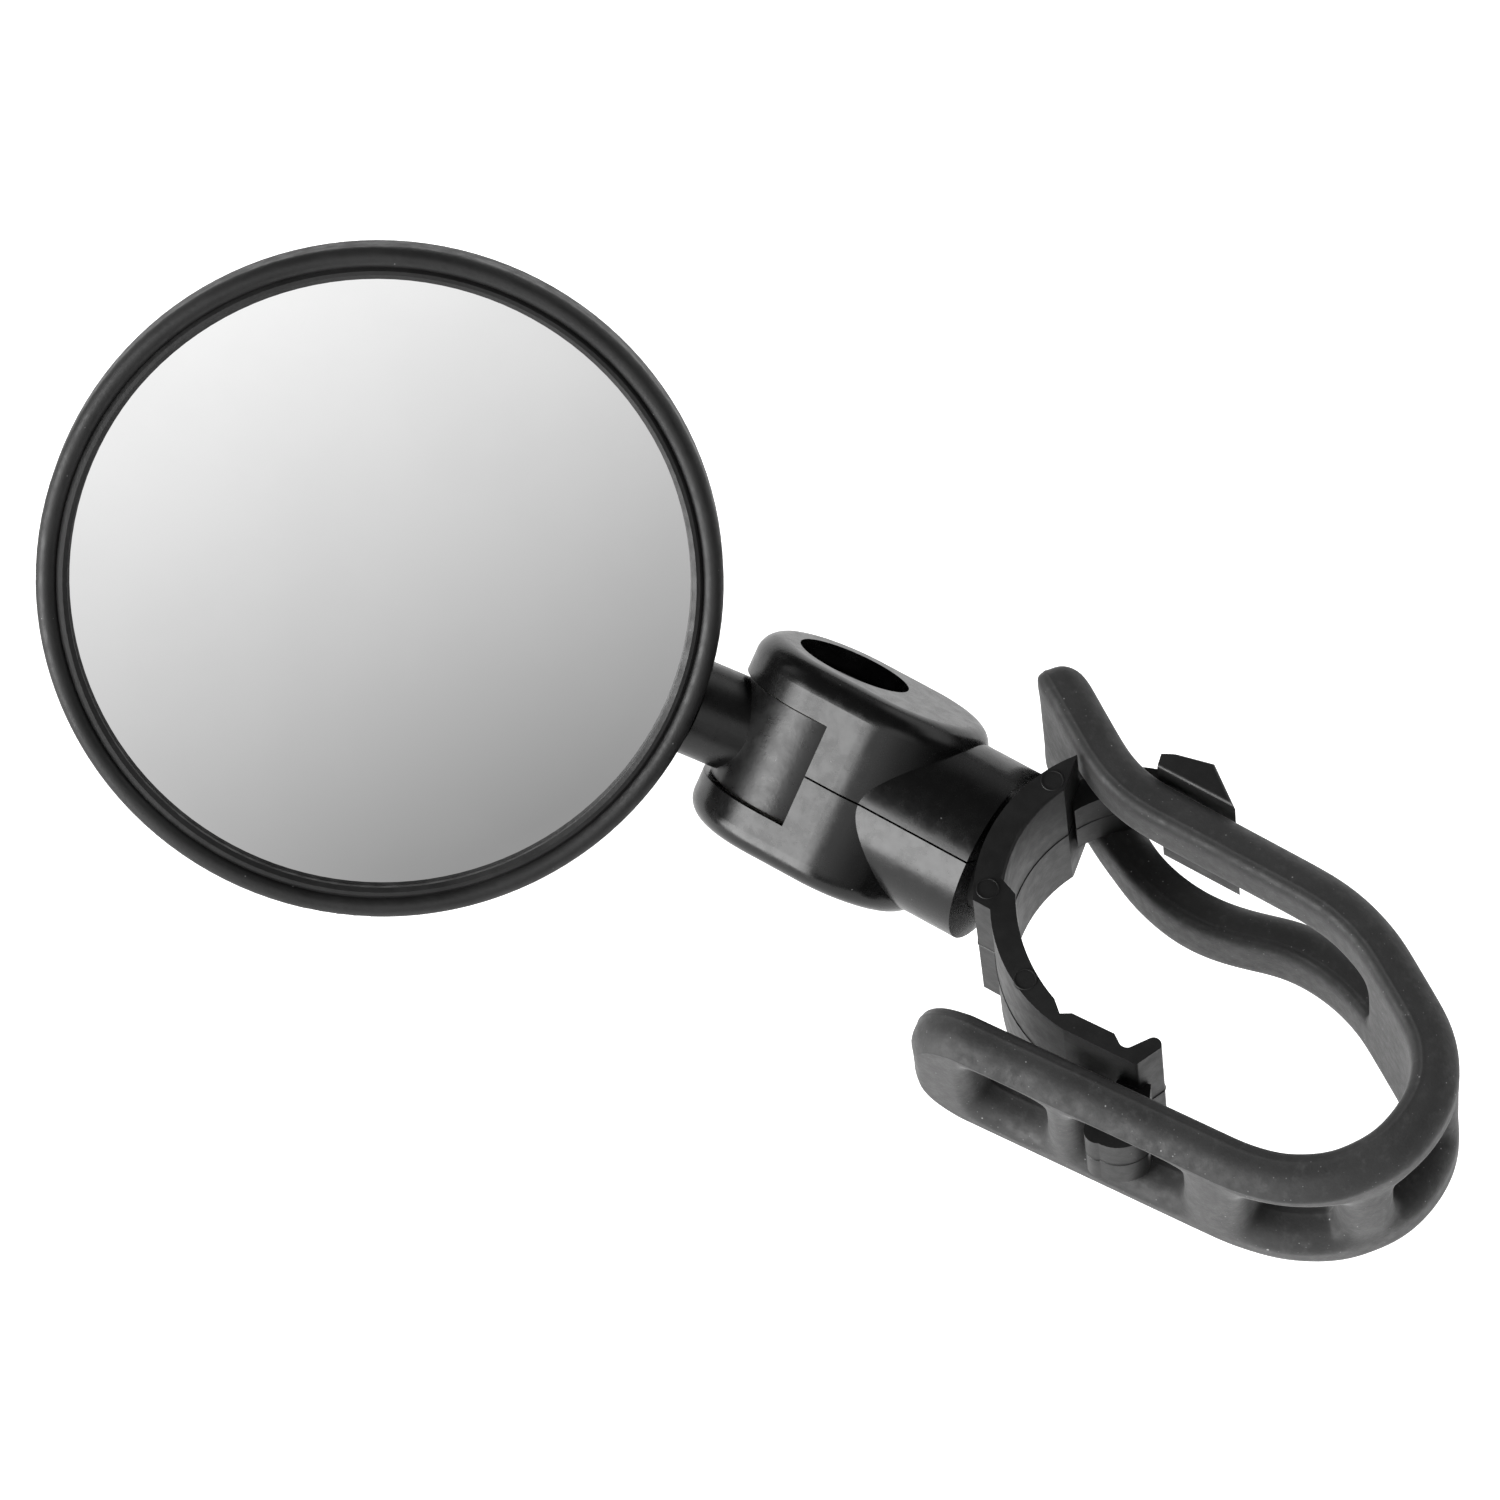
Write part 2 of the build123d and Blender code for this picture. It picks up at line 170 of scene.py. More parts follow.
def add_soft_box(tree, azimuth, elevation, box):
    """The glow of one soft box in a direction whose azimuth and elevation are given, in radians."""
    azimuth_middle, azimuth_half, elevation_middle, elevation_half, soft, strength = box
    glow = strength
    for angle, middle, half in (
        (azimuth, azimuth_middle, azimuth_half),
        (elevation, elevation_middle, elevation_half),
    ):
        away = add_math(tree, "ABSOLUTE", add_math(tree, "SUBTRACT", angle, radians(middle)), 0)
        inside = add_ramp(tree, away, radians(half - soft / 2), radians(half + soft / 2), 1, 0)
        glow = add_math(tree, "MULTIPLY", glow, inside)
    return glow


def make_sky():
    """A dark room with soft boxes, and the patch that the mirror shows."""
    world = bpy.data.worlds.new("studio")
    world.use_nodes = True
    scene.world = world
    tree = world.node_tree
    direction = tree.nodes.new("ShaderNodeTexCoord").outputs["Generated"]

    def along(axis):
        dot = tree.nodes.new("ShaderNodeVectorMath")
        dot.operation = "DOT_PRODUCT"
        dot.inputs[1].default_value = Vector(axis).normalized()
        tree.links.new(direction, dot.inputs[0])
        return dot.outputs["Value"]

    azimuth = add_math(tree, "ARCTAN2", along((0, 1, 0)), along((1, 0, 0)))
    elevation = add_math(tree, "ARCSINE", along((0, 0, 1)), 0)
    total = SKY_BASE
    for box in SOFT_BOXES:
        total = add_math(tree, "ADD", total, add_soft_box(tree, azimuth, elevation, box))
    fade = add_ramp(tree, along(PATCH_WAY), PATCH_FROM, PATCH_TO, 0, PATCH_MORE, "LINEAR")
    middle = along(PATCH_PLACE)
    around = add_ramp(tree, middle, cos(radians(PATCH_GONE)), cos(radians(PATCH_FULL)), 0, 1)
    glow = add_math(tree, "MULTIPLY", add_math(tree, "ADD", fade, PATCH_LEAST), around)
    total = add_math(tree, "ADD", total, glow)
    sky = tree.nodes["Background"]
    sky.inputs["Color"].default_value = (1, 1, 1, 1)
    tree.links.new(total, sky.inputs["Strength"])
    # what the camera sees above the floor's edge is plain white
    backdrop = add_node(tree, "ShaderNodeBackground", Color=(1, 1, 1, 1), Strength=1.0)
    choose = tree.nodes.new("ShaderNodeMixShader")
    rays = tree.nodes.new("ShaderNodeLightPath")
    tree.links.new(rays.outputs["Is Camera Ray"], choose.inputs["Fac"])
    tree.links.new(sky.outputs["Background"], choose.inputs[1])
    tree.links.new(backdrop.outputs["Background"], choose.inputs[2])
    tree.links.new(choose.outputs["Shader"], tree.nodes["World Output"].inputs["Surface"])


# ---- materials ----------------------------------------------------------------------------------
NOISE_MIDDLE = (0.3, 0.7)   # the range that most of a noise lies in
NOISE_CORE = (0.35, 0.65)
SPECK_CORE = 0.4            # the part of a speck that is whole, before it fades
# Sizes on the plastics, in millimetres.
CLOUD_SIZE = 9
STREAK_SIZE = 1.2
WAVE_SIZE = 2.5
WAVE_HIGH = 0.02
DUST_SPACING = 1.1
DUST_SIZE = 0.07
DUST_GREY = 0.16
GRAIN_STRENGTH = 0.7


def start_material(name, roughness, metallic=0.0):
    """A material with its shader, and the object's own coordinates to place its detail."""
    material = bpy.data.materials.new(name)
    material.use_nodes = True
    tree = material.node_tree
    shader = tree.nodes["Principled BSDF"]
    shader.inputs["Roughness"].default_value = roughness
    shader.inputs["Metallic"].default_value = metallic
    place = tree.nodes.new("ShaderNodeTexCoord").outputs["Object"]
    return material, tree, shader, place


def add_noise(tree, place, grain, detail=4.0):
    """Noise whose grain is a size in metres."""
    noise = add_node(tree, "ShaderNodeTexNoise", Scale=1 / grain, Detail=detail, Roughness=0.6)
    tree.links.new(place, noise.inputs["Vector"])
    return noise.outputs["Fac"]


def add_specks(tree, place, spacing, size, share):
    """1 on scattered specks of dust and 0 elsewhere. Share is how many cells of that spacing hold one."""
    cells = add_node(tree, "ShaderNodeTexVoronoi", Scale=1 / spacing, Randomness=1.0)
    tree.links.new(place, cells.inputs["Vector"])
    distance = cells.outputs["Distance"]
    near = add_ramp(tree, distance, SPECK_CORE * size / spacing, size / spacing, 1, 0)
    split = tree.nodes.new("ShaderNodeSeparateColor")
    tree.links.new(cells.outputs["Color"], split.inputs["Color"])
    chosen = add_math(tree, "LESS_THAN", split.outputs["Red"], share)
    return add_math(tree, "MULTIPLY", near, chosen)


def add_colour_mix(tree, factor, first, second):
    """Two colours mixed by a factor. Each is a colour or another node's output."""
    mix = tree.nodes.new("ShaderNodeMix")
    mix.data_type = "RGBA"
    tree.links.new(factor, mix.inputs["Factor"])
    for socket, value in ((mix.inputs["A"], first), (mix.inputs["B"], second)):
        if isinstance(value, tuple):
            socket.default_value = (*value, 1)
        else:
            tree.links.new(value, socket)
    return mix.outputs["Result"]


def add_bump(tree, shader, height, depth, strength=1.0, below=None):
    """Bump of a depth in metres, over another bump if there is one."""
    bump = add_node(tree, "ShaderNodeBump", Strength=strength, Distance=depth)
    tree.links.new(height, bump.inputs["Height"])
    if below is not None:
        tree.links.new(below, bump.inputs["Normal"])
    tree.links.new(bump.outputs["Normal"], shader.inputs["Normal"])
    return bump.outputs["Normal"]


def grey(level):
    """A neutral grey."""
    return (level, level, level)


def make_plastic(name, greys, gloss, grain, depth, dust, waves):
    """Black moulded plastic: mottled grey, uneven gloss, a fine grain, and a little dust.

    Greys and gloss are ranges, gloss as roughness. Grain is the texture's size and depth its height, in
    millimetres. Dust is the share of places with a speck, and waves how uneven the surface is.
    """
    material, tree, shader, place = start_material(name, gloss[0])
    cloud = add_ramp(tree, add_noise(tree, place, CLOUD_SIZE * MM), *NOISE_MIDDLE, 0, 1)
    colour = add_colour_mix(tree, cloud, grey(greys[0]), grey(greys[1]))
    specks = add_specks(tree, place, DUST_SPACING * MM, DUST_SIZE * MM, dust)
    colour = add_colour_mix(tree, specks, colour, grey(DUST_GREY))
    tree.links.new(colour, shader.inputs["Base Color"])
    streaks = add_noise(tree, place, STREAK_SIZE * MM, 6)
    tree.links.new(add_ramp(tree, streaks, *NOISE_MIDDLE, *gloss), shader.inputs["Roughness"])
    slow = add_noise(tree, place, WAVE_SIZE * MM, 2)
    uneven = add_bump(tree, shader, slow, WAVE_HIGH * MM, waves)
    fine = add_noise(tree, place, grain * MM, 3)
    add_bump(tree, shader, fine, depth * MM, GRAIN_STRENGTH, uneven)
    return material


# Dust on the rubber: its spacing and size in millimetres, the share of places that have it, its grey.
RUBBER_DUST = (
    (0.45, 0.07, 0.35, 0.12),
    (0.9, 0.08, 0.30, 0.30),
    (2.6, 0.13, 0.35, 0.40),
)


def make_rubber():
    """Dry dark grey rubber with dust caught on it."""
    material, tree, shader, place = start_material("strap_rubber", 0.65)
    cloud = add_ramp(tree, add_noise(tree, place, 5 * MM), *NOISE_MIDDLE, 0, 1)
    colour = add_colour_mix(tree, cloud, grey(0.018), grey(0.028))
    # a pale bloom in patches
    bloom = add_ramp(tree, add_noise(tree, place, 0.9 * MM, 8), 0.5, 0.8, 0, 0.7)
    colour = add_colour_mix(tree, bloom, colour, grey(0.060))
    for spacing, size, share, level in RUBBER_DUST:
        specks = add_specks(tree, place, spacing * MM, size * MM, share)
        colour = add_colour_mix(tree, specks, colour, grey(level))
    tree.links.new(colour, shader.inputs["Base Color"])
    uneven = add_noise(tree, place, 0.8 * MM, 6)
    tree.links.new(add_ramp(tree, uneven, *NOISE_MIDDLE, 0.52, 0.72), shader.inputs["Roughness"])
    shader.inputs["Sheen Weight"].default_value = 0.25
    shader.inputs["Sheen Roughness"].default_value = 0.5
    # soft lumps, with a fine grain over them
    lumps = add_bump(tree, shader, add_noise(tree, place, 1.6 * MM, 3), 0.06 * MM, 0.5)
    add_bump(tree, shader, add_noise(tree, place, 0.22 * MM, 3), 0.02 * MM, 0.8, lumps)
    return material


def make_mirror():
    """Silvered face with the faintest haze."""
    material, tree, shader, place = start_material("mirror_face", 0.02, metallic=1.0)
    haze = add_ramp(tree, add_noise(tree, place, 12 * MM), *NOISE_CORE, 0, 1)
    colour = add_colour_mix(tree, haze, grey(0.925), grey(0.94))
    tree.links.new(colour, shader.inputs["Base Color"])
    tree.links.new(add_ramp(tree, haze, 0, 1, 0.015, 0.03), shader.inputs["Roughness"])
    return material


def make_steel():
    """Black oxide on turned steel."""
    material, tree, shader, place = start_material("fastener_steel", 0.4, metallic=0.8)
    worn = add_ramp(tree, add_noise(tree, place, 0.7 * MM, 6), 0.45, 0.75, 0, 1)
    colour = add_colour_mix(tree, worn, grey(0.05), grey(0.09))
    tree.links.new(colour, shader.inputs["Base Color"])
    tree.links.new(add_ramp(tree, worn, 0, 1, 0.5, 0.40), shader.inputs["Roughness"])
    add_bump(tree, shader, add_noise(tree, place, 0.25 * MM, 3), 0.01 * MM, 0.6)
    return material


def make_pale(name, dark, light, roughness, grain):
    """Pale soft material, for the washers and the foam tape. Grain is in millimetres."""
    material, tree, shader, place = start_material(name, roughness)
    cloud = add_ramp(tree, add_noise(tree, place, grain * MM, 5), *NOISE_CORE, 0, 1)
    tree.links.new(add_colour_mix(tree, cloud, dark, light), shader.inputs["Base Color"])
    tree.links.new(add_ramp(tree, cloud, 0, 1, roughness, roughness + 0.15), shader.inputs["Roughness"])
    add_bump(tree, shader, add_noise(tree, place, grain * MM, 3), 0.04 * MM, 0.6)
    return material


# One material for each slot of the CAD part.
MATERIALS = {
    "saddle_plastic": make_plastic(
        "saddle_plastic", (0.008, 0.014), (0.40, 0.50), grain=0.30, depth=0.016, dust=0.5, waves=0.1
    ),
    "hinge_plastic": make_plastic(
        "hinge_plastic", (0.003, 0.005), (0.20, 0.30), grain=0.28, depth=0.004, dust=0.12, waves=0.12
    ),
    "housing_plastic": make_plastic(
        "housing_plastic", (0.004, 0.008), (0.26, 0.36), grain=0.35, depth=0.014, dust=0.15, waves=0.12
    ),
    "bezel_plastic": make_plastic(
        "bezel_plastic", (0.010, 0.018), (0.44, 0.60), grain=0.40, depth=0.035, dust=0.3, waves=0.4
    ),
    "ring_rubber": make_plastic(
        "ring_rubber", (0.02, 0.03), (0.70, 0.85), grain=0.30, depth=0.02, dust=0.1, waves=0.4
    ),
    "strap_rubber": make_rubber(),
    "mirror_face": make_mirror(),
    "fastener_steel": make_steel(),
    "washer_nylon": make_pale("washer_nylon", (0.55, 0.54, 0.48), (0.68, 0.67, 0.62), 0.4, grain=1.2),
    "adhesive_foam": make_pale("adhesive_foam", (0.62, 0.62, 0.60), (0.78, 0.78, 0.76), 0.8, grain=0.3),
}


def dress_cad_nodes():
    """Every CAD piece gets the material of its own slot."""
    for part in frame["record"]["subparts"]:
        node = frame["nodes"][part["node"]]
        for slot in node.material_slots:
            slot.material = MATERIALS[part["material_slot"]]


# ---- rubber strap -------------------------------------------------------------------------------
# The strap's middle line in the XY plane, in millimetres: straight runs joined by arcs.
STRAP_CORNERS = (
    (15.4, -12.6),
    (7.2, -7.5),
    (-14.6, -7.4),
    (-27.6, 0.5),
    (-26.7, 10.8),
    (-19.6, 15.0),
    (9.0, 16.9),
)
STRAP_RADII = (12, 16, 8.2, 9.6, 12)
STRAP_HALF = 1.9            # half its thickness
STRAP_END = 1.9             # the tab's end runs on this far past the line
TAIL_END = 2.3              # and the tail's end this far
STRAP_WIDE = 8.5            # half its width at the tab and round the loop
STRAP_NARROW = 6.9          # half its width at the tail
STRAP_SAG = 0.45            # its edges lie this far below the middle of the slots
EDGE_ROUND = 1.25           # rounding of the long edges on the outside of the loop
MOUTH_ROUND = 1.1           # rounding of the slots' mouths there
INNER_ROUND = 0.45          # rounding of both on the inside
TAIL_ROUND = 4.6            # corners of the tail, seen flat
BULGE_DEPTH = 1.8           # the far strand is pushed into the loop by the upper hook
BULGE_REACH = 8.5           # each way along it
HOOK_PLACE = (-0.5, -7.4)   # the upper hook's middle
RIDGE_LEVEL = -0.9          # the mould's parting ridge lies this far towards the inside of the loop
RIDGE_WIDE = 0.2
RIDGE_HIGH = 0.12
TAPER_FROM = 0.50           # the tail narrows between these shares of the strap's length
TAPER_TO = 0.70
SLOT_PULL = 0.6             # how far a slot's corners are pulled in, to round them
SLOT_CORNER = 1.6           # how far a slot's rounded corners reach along it
BAND_LEAST = 0.3            # least flat width beside a slot
LINE_STEP = 0.1             # between the traced places of the middle line
ROW_LENGTH = 1.8            # between the rows of its mesh, about
SHARPEST = 0.5              # keeps the walls from running far out at a sharp corner
CORNER_TURNS = (0, 25, 55, 90)      # rows round the tail's corners, in degrees
SLOT_COLUMN = 0.55          # the columns inside a slot lie at this share of its half width
MOUTH_COLUMNS = (3, 7)      # the columns at the slots' two sides
SMOOTH_LEVELS = 2
# Slots: a point near the middle, half the length along the strap, half the width.
SLOTS = (
    ((-3.2, -7.4), 15.4, 3.5),
    ((-27.6, 5.3), 3.3, 3.2),
    ((-21.6, 14.4), 3.3, 3.3),
    ((-8.2, 16.0), 4.4, 4.1),
    ((2.4, 16.5), 3.1, 4.0),
)


def trace_line(corners, radii, step):
    """Evenly spaced points and directions along straight runs joined by arcs."""
    points = [Vector(corner) for corner in corners]
    pieces = []
    here = points[0]
    for before, corner, after, radius in zip(points, points[1:], points[2:], radii):
        inward = (corner - before).normalized()
        outward = (after - corner).normalized()
        turn = inward.cross(outward)
        angle = inward.angle(outward)
        reach = radius * sin(angle / 2) / cos(angle / 2)
        pieces.append((here, corner - inward * reach, inward, 0.0))
        swing = angle if turn > 0 else -angle
        pieces.append((corner - inward * reach, corner + outward * reach, inward, swing))
        here = corner + outward * reach
    pieces.append((here, points[-1], (points[-1] - here).normalized(), 0.0))
    traced = []
    for start, end, heading, angle in pieces:
        chord = (end - start).length
        length = chord * (angle / 2) / sin(angle / 2) if angle else chord
        count = max(2, round(abs(length) / step))
        for index in range(count):
            part = index / count
            if angle:
                radius = length / angle
                swung = angle * part
                side = Vector((-heading.y, heading.x))
                place = start + heading * radius * sin(swung) + side * radius * (1 - cos(swung))
                ahead = heading * cos(swung) + side * sin(swung)
            else:
                place = start + (end - start) * part
                ahead = heading
            traced.append((place, ahead))
    traced.append((points[-1], (points[-1] - here).normalized()))
    return traced


def nearest_place(line, point):
    """Number of the traced place nearest to a point."""
    target = Vector(point)
    return min(range(len(line)), key=lambda index: (line[index][0] - target).length)


def slot_spans(line):
    """For each slot: where it starts and ends along the strap, and half its width."""
    spans = []
    for middle, half_length, half_width in SLOTS:
        centre = nearest_place(line, middle) * LINE_STEP + STRAP_END
        spans.append((centre - half_length, centre + half_length, half_width))
    return spans


def half_width_at(distance, total):
    """Half the width of the strap's flat part, with its taper towards the tail and its rounded end."""
    taper_start = total * TAPER_FROM
    taper_end = total * TAPER_TO
    share = min(1.0, max(0.0, (distance - taper_start) / (taper_end - taper_start)))
    share = share * share * (3 - 2 * share)
    half = STRAP_WIDE + (STRAP_NARROW - STRAP_WIDE) * share - EDGE_ROUND
    corner = TAIL_ROUND - EDGE_ROUND
    into = EDGE_ROUND + corner - max(total - distance, EDGE_ROUND)
    if into > 0:
        half -= corner - sqrt(corner ** 2 - into ** 2)
    return half


def slot_half_at(distance, spans):
    """Half the width of the band that the slots take, blended from one slot to the next."""
    if distance <= spans[0][1]:
        return spans[0][2]
    for one, other in zip(spans, spans[1:]):
        if distance <= other[1]:
            share = min(1.0, max(0.0, (distance - one[1]) / (other[0] - one[1])))
            return one[2] + (other[2] - one[2]) * share
    return spans[-1][2]


def strap_stations(total, spans):
    """Distances along the strap for the rows of its mesh: closer at its ends and at the slots' ends."""
    marks = {EDGE_ROUND}
    corner = TAIL_ROUND - EDGE_ROUND
    for turn in CORNER_TURNS:
        marks.add(total - (EDGE_ROUND + corner * (1 - cos(radians(turn)))))
    for start, end, _ in spans:
        marks.update((start - MOUTH_ROUND, start + SLOT_CORNER, end - SLOT_CORNER, end + MOUTH_ROUND))
    ordered = sorted(marks)
    stations = []
    for one, other in zip(ordered, ordered[1:]):
        count = max(1, round((other - one) / ROW_LENGTH))
        stations.extend(one + (other - one) * index / count for index in range(count))
    stations.append(ordered[-1])
    return stations


def strand_bulge(distance, across, middle):
    """How far the far strand is pushed into the loop by the hook, in millimetres."""
    along = (distance - middle) / BULGE_REACH
    if abs(along) >= 1 or across > 0:
        return 0.0
    return BULGE_DEPTH * (1 - along * along) ** 1.5


def strap_row(distance, total, spans):
    """Places across one row of the flat strap: three strips beside the slots, and four over them."""
    outer = half_width_at(distance, total)
    low, high = -outer - STRAP_SAG, outer - STRAP_SAG
    inner = min(slot_half_at(distance, spans) + MOUTH_ROUND, high - BAND_LEAST)
    parts = (0, 1 / 3, 2 / 3, 1)
    places = [low + (-inner - low) * part for part in parts]
    places += [-inner * SLOT_COLUMN, 0.0, inner * SLOT_COLUMN]
    places += [high - (high - inner) * part for part in reversed(parts)]
    return places


def make_flat_strap(total, spans):
    """The strap as a flat grid with holes for its slots, and its points in the slots' columns."""
    first, last = MOUTH_COLUMNS
    flat = bmesh.new()
    stations = strap_stations(total, spans)
    rows = []
    for distance in stations:
        places = strap_row(distance, total, spans)
        rows.append([flat.verts.new((distance, across, 0)) for across in places])
    for here, there, row, next_row in zip(stations, stations[1:], rows, rows[1:]):
        middle = (here + there) / 2
        in_slot = any(start - MOUTH_ROUND < middle < end + MOUTH_ROUND for start, end, _ in spans)
        for column in range(len(row) - 1):
            if in_slot and first <= column < last:
                continue
            flat.faces.new((row[column], next_row[column], next_row[column + 1], row[column + 1]))
    bmesh.ops.delete(flat, geom=[vert for vert in flat.verts if not vert.link_faces], context="VERTS")
    for start, end, _ in spans:
        for mouth, inward in ((start - MOUTH_ROUND, SLOT_PULL), (end + MOUTH_ROUND, -SLOT_PULL)):
            row = rows[stations.index(mouth)]
            row[first].co += Vector((inward, SLOT_PULL, 0))
            row[last].co += Vector((inward, -SLOT_PULL, 0))
    mouths = {vert for row in rows for vert in row[first:last + 1] if vert.is_valid}
    return flat, mouths


def bend_strap(flat, line):
    """Bends the slab from flat to the strap's line, and pushes the far strand in at the hook."""
    hook_middle = nearest_place(line, HOOK_PLACE) * LINE_STEP + STRAP_END
    for vert in flat.verts:
        distance, across, height = vert.co
        index = min(max(round((distance - STRAP_END) / LINE_STEP), 0), len(line) - 1)
        place, ahead = line[index]
        past = distance - STRAP_END - index * LINE_STEP
        outward = Vector((-ahead.y, ahead.x))
        height -= strand_bulge(distance, across, hook_middle)
        spot = place + ahead * past + outward * height
        vert.co = Vector((spot.x, spot.y, across)) * MM
    bmesh.ops.recalc_face_normals(flat, faces=flat.faces)


def thicken(flat, half, mouths):
    """Turns a flat mesh with holes into a slab with rounded walls, and a fine parting ridge round each."""
    faces = list(flat.faces)
    outward = {}
    for edge in flat.edges:
        if edge.is_boundary:
            centre = edge.link_faces[0].calc_center_median()
            run = edge.verts[1].co - edge.verts[0].co
            normal = Vector((run.y, -run.x, 0)).normalized()
            if normal.dot(edge.verts[0].co - centre) < 0:
                normal.negate()
            for vert in edge.verts:
                outward.setdefault(vert, []).append(normal)
    step_out = {}
    for vert, normals in outward.items():
        both = normals[0] + normals[-1]
        step_out[vert] = both / max(SHARPEST, 1 + normals[0].dot(normals[-1]))
    top = {vert: flat.verts.new(vert.co + Vector((0, 0, half))) for vert in flat.verts if vert.link_faces}
    bottom = {vert: flat.verts.new(vert.co - Vector((0, 0, half))) for vert in top}
    walls = {}
    for vert, out in step_out.items():
        rounding = MOUTH_ROUND if vert in mouths else EDGE_ROUND
        bottom[vert].co += out * (rounding - INNER_ROUND)
        rings = (
            (half - rounding, 0),
            (RIDGE_LEVEL + RIDGE_WIDE, 0),
            (RIDGE_LEVEL, RIDGE_HIGH),
            (RIDGE_LEVEL - RIDGE_WIDE, 0),
            (INNER_ROUND - half, 0),
        )
        ring = []
        for level, extra in rings:
            spot = vert.co + out * (rounding + extra) + Vector((0, 0, level))
            ring.append(flat.verts.new(spot))
        walls[vert] = [top[vert], *ring, bottom[vert]]
    for face in faces:
        flat.faces.new([top[vert] for vert in face.verts])
        flat.faces.new([bottom[vert] for vert in reversed(face.verts)])
    for edge in [edge for edge in flat.edges if edge.is_boundary and edge.verts[0] in walls]:
        one, other = walls[edge.verts[0]], walls[edge.verts[1]]
        for level in range(len(one) - 1):
            flat.faces.new((one[level], other[level], other[level + 1], one[level + 1]))
    bmesh.ops.delete(flat, geom=faces, context="FACES_ONLY")
    bmesh.ops.delete(flat, geom=[vert for vert in flat.verts if not vert.link_faces], context="VERTS")
    bmesh.ops.delete(flat, geom=[edge for edge in flat.edges if not edge.link_faces], context="EDGES")


def make_strap():
    """The slotted band, built flat as a grid with holes, rounded at every edge, then bent to its line."""
    line = trace_line(STRAP_CORNERS, STRAP_RADII, LINE_STEP)
    total = (len(line) - 1) * LINE_STEP + STRAP_END + TAIL_END
    flat, mouths = make_flat_strap(total, slot_spans(line))
    thicken(flat, STRAP_HALF, mouths)
    bend_strap(flat, line)
    mesh = bpy.data.meshes.new("strap")
    flat.to_mesh(mesh)
    flat.free()
    strap = bpy.data.objects.new("strap", mesh)
    scene.collection.objects.link(strap)
    mesh.materials.append(MATERIALS["strap_rubber"])
    mesh.shade_smooth()
    smooth = strap.modifiers.new("smooth", "SUBSURF")
    smooth.levels = SMOOTH_LEVELS
    smooth.render_levels = SMOOTH_LEVELS
    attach(strap, "saddle")
    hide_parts("rubber_strap")


# ---- mirror glass -------------------------------------------------------------------------------
GLASS_RADIUS = 24.7
GLASS_CURVE = 300.0         # radius of its convex face
GLASS_EDGE = 3.4            # its edge, in front of the mirror's centre
GLASS_BACK = 1.6
GLASS_BEVEL = 0.2
GLASS_RINGS = 16            # rings in its curved face
GLASS_AROUND = 128
GLASS_CREASE = 20           # its bevel's edges stay sharp from this angle, in degrees
MIRROR_REACH = 37.3         # from the fold's pivot to the mirror's centre
FOLD = radians(24.9)        # the mirror's fold at rest, out of line with the arm


def joint_named(name):
    """The record's entry for one joint."""
    return next(joint for joint in frame["joints"] if joint["name"] == name)


def mirror_place():
    """Matrix of the mirror's own frame: its origin at the centre, its z out of the glass, in metres."""
    joint = joint_named("mirror_fold")
    pin = Vector(joint["axis"]).normalized()
    arm = Vector(joint_named("hinge_swivel")["axis"])
    along = arm * cos(FOLD) + pin.cross(arm) * sin(FOLD)
    out = pin.cross(along)
    centre = Vector(joint["pos_m"]) + along * MIRROR_REACH * MM
    turn = Matrix((along, out.cross(along), out)).transposed()
    return Matrix.Translation(centre) @ turn.to_4x4()


def turned_mesh(name, profile, around, place):
    """A mesh turned about the local z axis from a profile of (distance, height) points, in millimetres."""
    turned = bmesh.new()
    rings = []
    for distance, height in profile:
        if distance == 0:
            rings.append([turned.verts.new((0, 0, height * MM))])
            continue
        angles = [2 * pi * index / around for index in range(around)]
        rings.append([
            turned.verts.new((distance * cos(angle) * MM, distance * sin(angle) * MM, height * MM))
            for angle in angles
        ])
    for one, other in zip(rings, rings[1:]):
        for index in range(around):
            after = (index + 1) % around
            # a ring of one point takes every index, and its repeats drop out
            near = (one[index % len(one)], other[index % len(other)])
            far = (other[after % len(other)], one[after % len(one)])
            turned.faces.new(dict.fromkeys(near + far))
    bmesh.ops.recalc_face_normals(turned, faces=turned.faces)
    bmesh.ops.transform(turned, matrix=place, verts=turned.verts)
    mesh = bpy.data.meshes.new(name)
    turned.to_mesh(mesh)
    turned.free()
    mesh.shade_smooth()
    return mesh


def make_glass():
    """The convex silvered glass, an exact spherical cap so that what it shows isn't broken up."""
    face_radius = GLASS_RADIUS - GLASS_BEVEL
    rim_fall = GLASS_CURVE - sqrt(GLASS_CURVE ** 2 - GLASS_RADIUS ** 2)
    profile = [(0, GLASS_BACK), (GLASS_RADIUS, GLASS_BACK), (GLASS_RADIUS, GLASS_EDGE - GLASS_BEVEL)]
    for index in reversed(range(GLASS_RINGS + 1)):
        distance = face_radius * index / GLASS_RINGS
        fall = GLASS_CURVE - sqrt(GLASS_CURVE ** 2 - distance ** 2)
        profile.append((distance, GLASS_EDGE + rim_fall - fall))
    mesh = turned_mesh("mirror_glass", profile, GLASS_AROUND, mirror_place())
    mesh.set_sharp_from_angle(angle=radians(GLASS_CREASE))
    glass = bpy.data.objects.new("mirror_glass", mesh)
    scene.collection.objects.link(glass)
    mesh.materials.append(MATERIALS["mirror_face"])
    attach(glass, "mirror_head")
    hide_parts("mirror_lens")


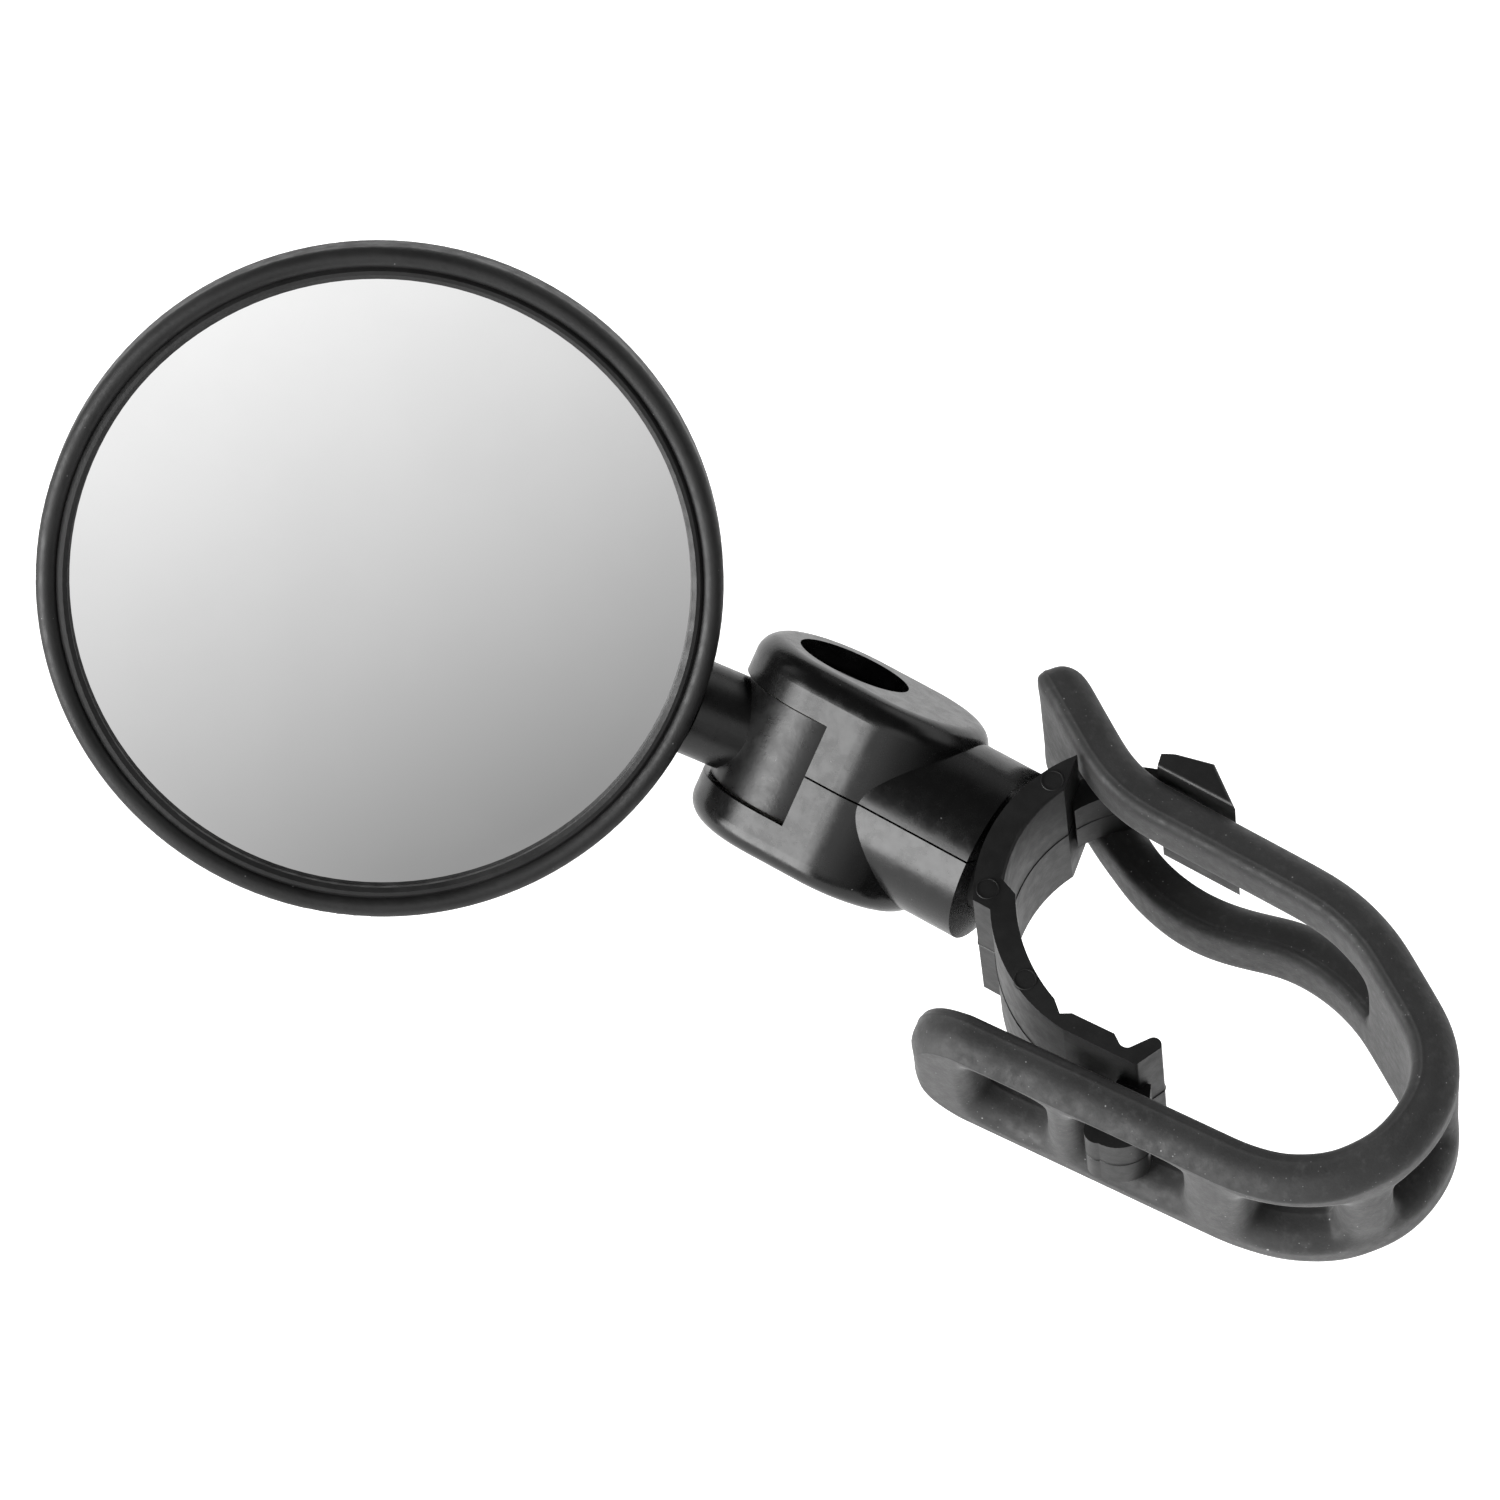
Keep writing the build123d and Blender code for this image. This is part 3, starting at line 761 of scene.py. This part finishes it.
# ---- marks of the mould on the saddle -----------------------------------------------------------
# The ejector pins pushed on the saddle's upper face, half the bar seat's length from its middle.
SADDLE_FACE = frame["record"]["mounts"][0]["dims"]["length_mm"] / 2
PIN_PLACES = ((11.6, -4.6), (11.0, 5.9), (4.4, 11.0))
PIN_RADIUS = 0.85
PIN_AROUND = 40
PIN_HALF = 0.12             # half the width of a pin's ring
LINE_HALF = 0.07            # half the width of the parting line
LINE_END = 12.4             # the line stops here, short of the arm that turns inside the hinge


def add_mark(name, mesh):
    """A fine raised mark in the saddle's own plastic."""
    mark = bpy.data.objects.new(name, mesh)
    scene.collection.objects.link(mark)
    mesh.materials.append(MATERIALS["saddle_plastic"])
    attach(mark, "saddle")


def make_pin_marks():
    """The thin raised rings that the ejector pins left on the saddle's face."""
    profile = (
        (PIN_RADIUS - PIN_HALF, -PIN_HALF),
        (PIN_RADIUS, PIN_HALF),
        (PIN_RADIUS + PIN_HALF, -PIN_HALF),
        (PIN_RADIUS - PIN_HALF, -PIN_HALF),
    )
    for number, (across, along) in enumerate(PIN_PLACES, 1):
        place = Matrix.Translation(Vector((across, along, SADDLE_FACE)) * MM)
        name = f"ejector_mark_{number}"
        add_mark(name, turned_mesh(name, profile, PIN_AROUND, place))


def make_parting_line():
    """The mould's parting line: a fine ridge where the plane z = 0 meets the saddle's surface."""
    node = frame["nodes"]["bar_saddle"]
    cut = bmesh.new()
    cut.from_mesh(node.data)
    bmesh.ops.transform(cut, matrix=node.matrix_world, verts=cut.verts)
    everything = cut.verts[:] + cut.edges[:] + cut.faces[:]
    bmesh.ops.bisect_plane(
        cut, geom=everything, plane_co=(0, 0, 0), plane_no=(0, 0, 1), clear_inner=True, clear_outer=True
    )
    runs = [
        (edge.verts[0].co.copy(), edge.verts[1].co.copy())
        for edge in cut.edges
        if max(vert.co.x for vert in edge.verts) < LINE_END * MM
    ]
    cut.free()
    ridge = bmesh.new()
    up = Vector((0, 0, LINE_HALF * MM))
    for start, end in runs:
        along = (end - start).normalized()
        side = along.cross(up)
        ring = (side, up, -side, -up)
        first = [ridge.verts.new(start + way) for way in ring]
        last = [ridge.verts.new(end + way) for way in ring]
        for index in range(4):
            after = (index + 1) % 4
            ridge.faces.new((first[index], last[index], last[after], first[after]))
        ridge.faces.new(first)
        ridge.faces.new(reversed(last))
    mesh = bpy.data.meshes.new("parting_line")
    ridge.to_mesh(mesh)
    ridge.free()
    add_mark("parting_line", mesh)


make_camera()
make_floor()
make_sky()
dress_cad_nodes()
make_strap()
make_glass()
make_pin_marks()
make_parting_line()

scene.view_settings.view_transform = "Standard"
